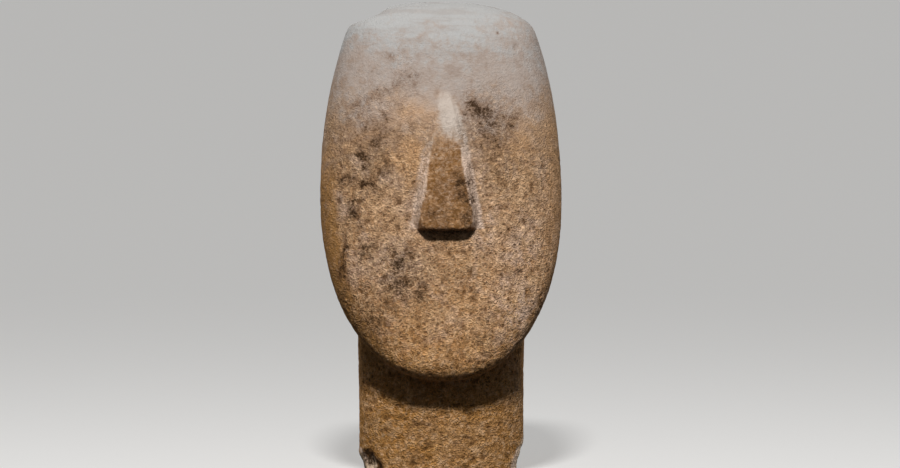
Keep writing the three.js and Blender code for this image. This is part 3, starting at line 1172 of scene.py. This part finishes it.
FLOOR_RINGS = (0.4, 1.2)
FLOOR_RADIUS = 2.4
SWEEP_RADIUS = 2.6
SWEEP_STEPS = 24
WALL_TOP = 3.4
SIDES = 96
PALE_GREY = (0.42, 0.416, 0.408, 1)
PAINT_ROUGHNESS = 0.9
WALL_GLOW = 0.95

# the air's light by the height a ray comes from, and what little there is from below
AIR_GLOW = 0.115
AIR_GLOW_BELOW = 0.02
HORIZON = (-0.2, 0.3)

FACE_MIDDLE = Vector((0, -0.04, 0.17))
# bearing, elevation, distance, size and power
KEY_LIGHT = (-4, 46, 1.5, 0.2, 25)
BACK_LIGHT_BEARING = 150
BACK_LIGHT = (20, 2.0, 0.9, 16)


def round_studio():
    """A pale round floor that sweeps up into a wall, open above: a turned profile.

    Its radius and height are (F + S sin t, S - S cos t), with a flat before and a wall after.
    """
    turn = np.linspace(0, math.pi / 2, SWEEP_STEPS)
    radius = np.concatenate([FLOOR_RINGS, FLOOR_RADIUS + SWEEP_RADIUS * np.sin(turn)])
    radius = np.append(radius, FLOOR_RADIUS + SWEEP_RADIUS)
    height = np.concatenate([[0, 0], SWEEP_RADIUS - SWEEP_RADIUS * np.cos(turn), [WALL_TOP]])
    around = np.linspace(0, 2 * math.pi, SIDES + 1)[:-1]
    ring = np.stack([np.cos(around), np.sin(around), np.zeros(around.size)], axis=-1)
    points = ring[None] * radius[:, None, None]
    points[..., 2] = height[:, None]
    k = np.arange(around.size)
    after = (k + 1) % k.size
    base = np.arange(radius.size - 1)[:, None] * k.size
    walls = np.stack([base + k, base + k.size + k, base + k.size + after, base + after], axis=-1)
    mesh = bpy.data.meshes.new("round_studio")
    faces = [*walls.reshape(-1, 4).tolist(), k.tolist()]
    mesh.from_pydata(points.reshape(-1, 3).tolist(), [], faces)
    mesh.shade_smooth()
    studio = shown("round_studio", mesh)
    # its own faint glow keeps the wall pale; none of its light falls on the stone
    paint = Finish(bpy.data.materials.new("studio_paint"))
    paint.shade(Base_Color=PALE_GREY, Roughness=PAINT_ROUGHNESS)
    paint.shade(Emission_Color=PALE_GREY, Emission_Strength=WALL_GLOW)
    mesh.materials.append(paint.owner)
    studio.visible_diffuse = False
    studio.visible_shadow = False


def direction(turn, lift):
    """The way out at a turn to the right of straight in front, and at a lift above level."""
    flat = math.cos(lift)
    return Vector((math.sin(turn) * flat, -math.cos(turn) * flat, math.sin(lift)))


def soft_light(name, bearing, elevation, distance, size, power):
    """A round soft light aimed at the face, its bearing in degrees from straight in front."""
    turn, lift = math.radians(bearing), math.radians(elevation)
    way = direction(turn, lift)
    lamp = bpy.data.lights.new(name, "AREA")
    lamp.shape = "DISK"
    lamp.size = size
    lamp.energy = power
    holder = shown(name, lamp)
    holder.location = FACE_MIDDLE + way * distance
    holder.rotation_euler = (-way).to_track_quat("-Z", "Y").to_euler()
    holder.visible_camera = False
    return holder


def stone_only(light):
    """Keeps a light off the floor, and keeps its gloss off the stone's edges."""
    lit = bpy.data.collections.new(light.name + "_lit")
    lit.objects.link(marble)
    light.light_linking.receiver_collection = lit
    light.visible_glossy = False


def studio_air():
    """Even light from all of the upper half, and next to none from below."""
    air = Finish(bpy.data.worlds.new("studio_air"), "Background")
    way = air.add("ShaderNodeTexCoord", {}, {}, "Generated")
    up = air.add("ShaderNodeSeparateXYZ", {}, {0: way}, "Z")
    air.shade(Strength=air.step(up, *HORIZON) * AIR_GLOW + AIR_GLOW_BELOW)
    air.shade(Color=(1, 1, 1, 1))
    bpy.context.scene.world = air.owner


round_studio()
studio_air()
soft_light("key", *KEY_LIGHT)
stone_only(soft_light("back_left", -BACK_LIGHT_BEARING, *BACK_LIGHT))
stone_only(soft_light("back_right", BACK_LIGHT_BEARING, *BACK_LIGHT))
bpy.context.scene.view_settings.view_transform = "Standard"

# ---- the camera: level with the face, and a touch to its left ----

VIEW_WIDTH = 0.54
VIEW_DISTANCE = 1.45
VIEW_BEARING = math.radians(-1.8)
VIEW_LIFT = math.radians(1.0)
AIM = Vector((0.0047, -0.02, 0.1476))

view = bpy.data.cameras.new("camera")
view.sensor_width = 36
view.lens = view.sensor_width * VIEW_DISTANCE / VIEW_WIDTH
camera = shown("camera", view)
bpy.context.scene.camera = camera
sight = direction(VIEW_BEARING, VIEW_LIFT)
camera.location = AIM + sight * VIEW_DISTANCE
camera.rotation_euler = (-sight).to_track_quat("-Z", "Y").to_euler()
